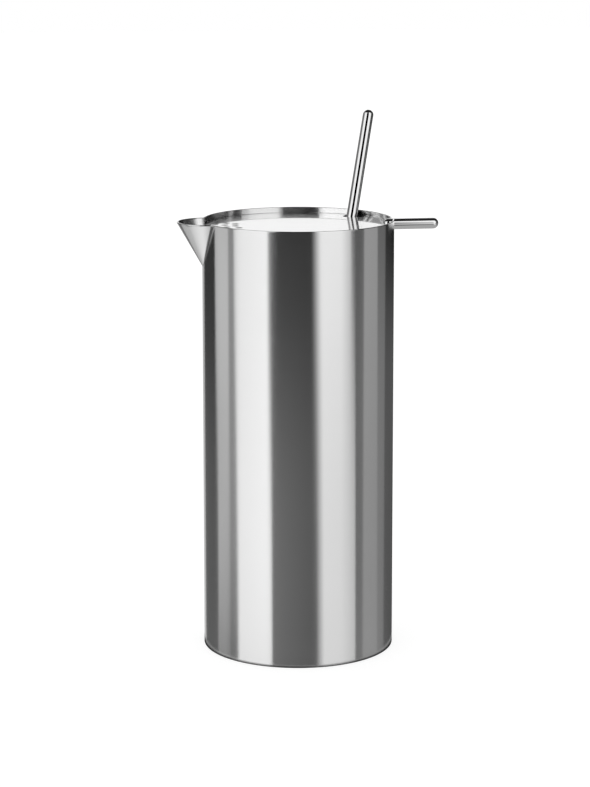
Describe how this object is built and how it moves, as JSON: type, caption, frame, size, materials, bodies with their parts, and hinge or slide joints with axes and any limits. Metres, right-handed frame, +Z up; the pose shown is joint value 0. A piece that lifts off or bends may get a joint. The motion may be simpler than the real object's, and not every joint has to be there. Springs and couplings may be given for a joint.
{
  "type": "cocktail pitcher",
  "caption": "Tall cylindrical steel pitcher with a cone beak, a drop-in strainer lid on a rod handle, and a long mixing spoon leaning in the lid's notch.",
  "frame": {"origin": "on the jug's axis at its bottom face, where it stands", "axes": "+Z up along the jug's axis, the beak points along -X, the lid's handle along +X, the spoon leans towards +X +Y"},
  "size_m": [0.1446, 0.105, 0.293],
  "materials": {
    "tube_steel": "satin, brushed round the cylinder",
    "base_steel": "satin, turned in fine circles",
    "beak_steel": "fine satin",
    "ledge_steel": "plain rolled sheet",
    "lid_steel": "mirror polished",
    "rod_steel": "polished",
    "bowl_steel": "polished"
  },
  "bodies": {
    "jug": {"body_tube": "tube_steel", "base_disc": "base_steel", "beak": "beak_steel", "front_ledge": "ledge_steel", "back_ledge": "ledge_steel"},
    "lid": {"lid_disc": "lid_steel", "lid_handle": "rod_steel"},
    "spoon": {"spoon_stem": "rod_steel", "spoon_bowl": "bowl_steel"}
  },
  "joints": [
    {"name": "lid_lift", "type": "slide", "parent": "jug", "child": "lid", "axis": [0, 0, 1], "range_m": [0, 0.1]},
    {"name": "spoon_lift", "type": "slide", "parent": "jug", "child": "spoon", "axis": [0.2031, 0.2841, 0.937], "range_m": [0, 0.2]}
  ]
}
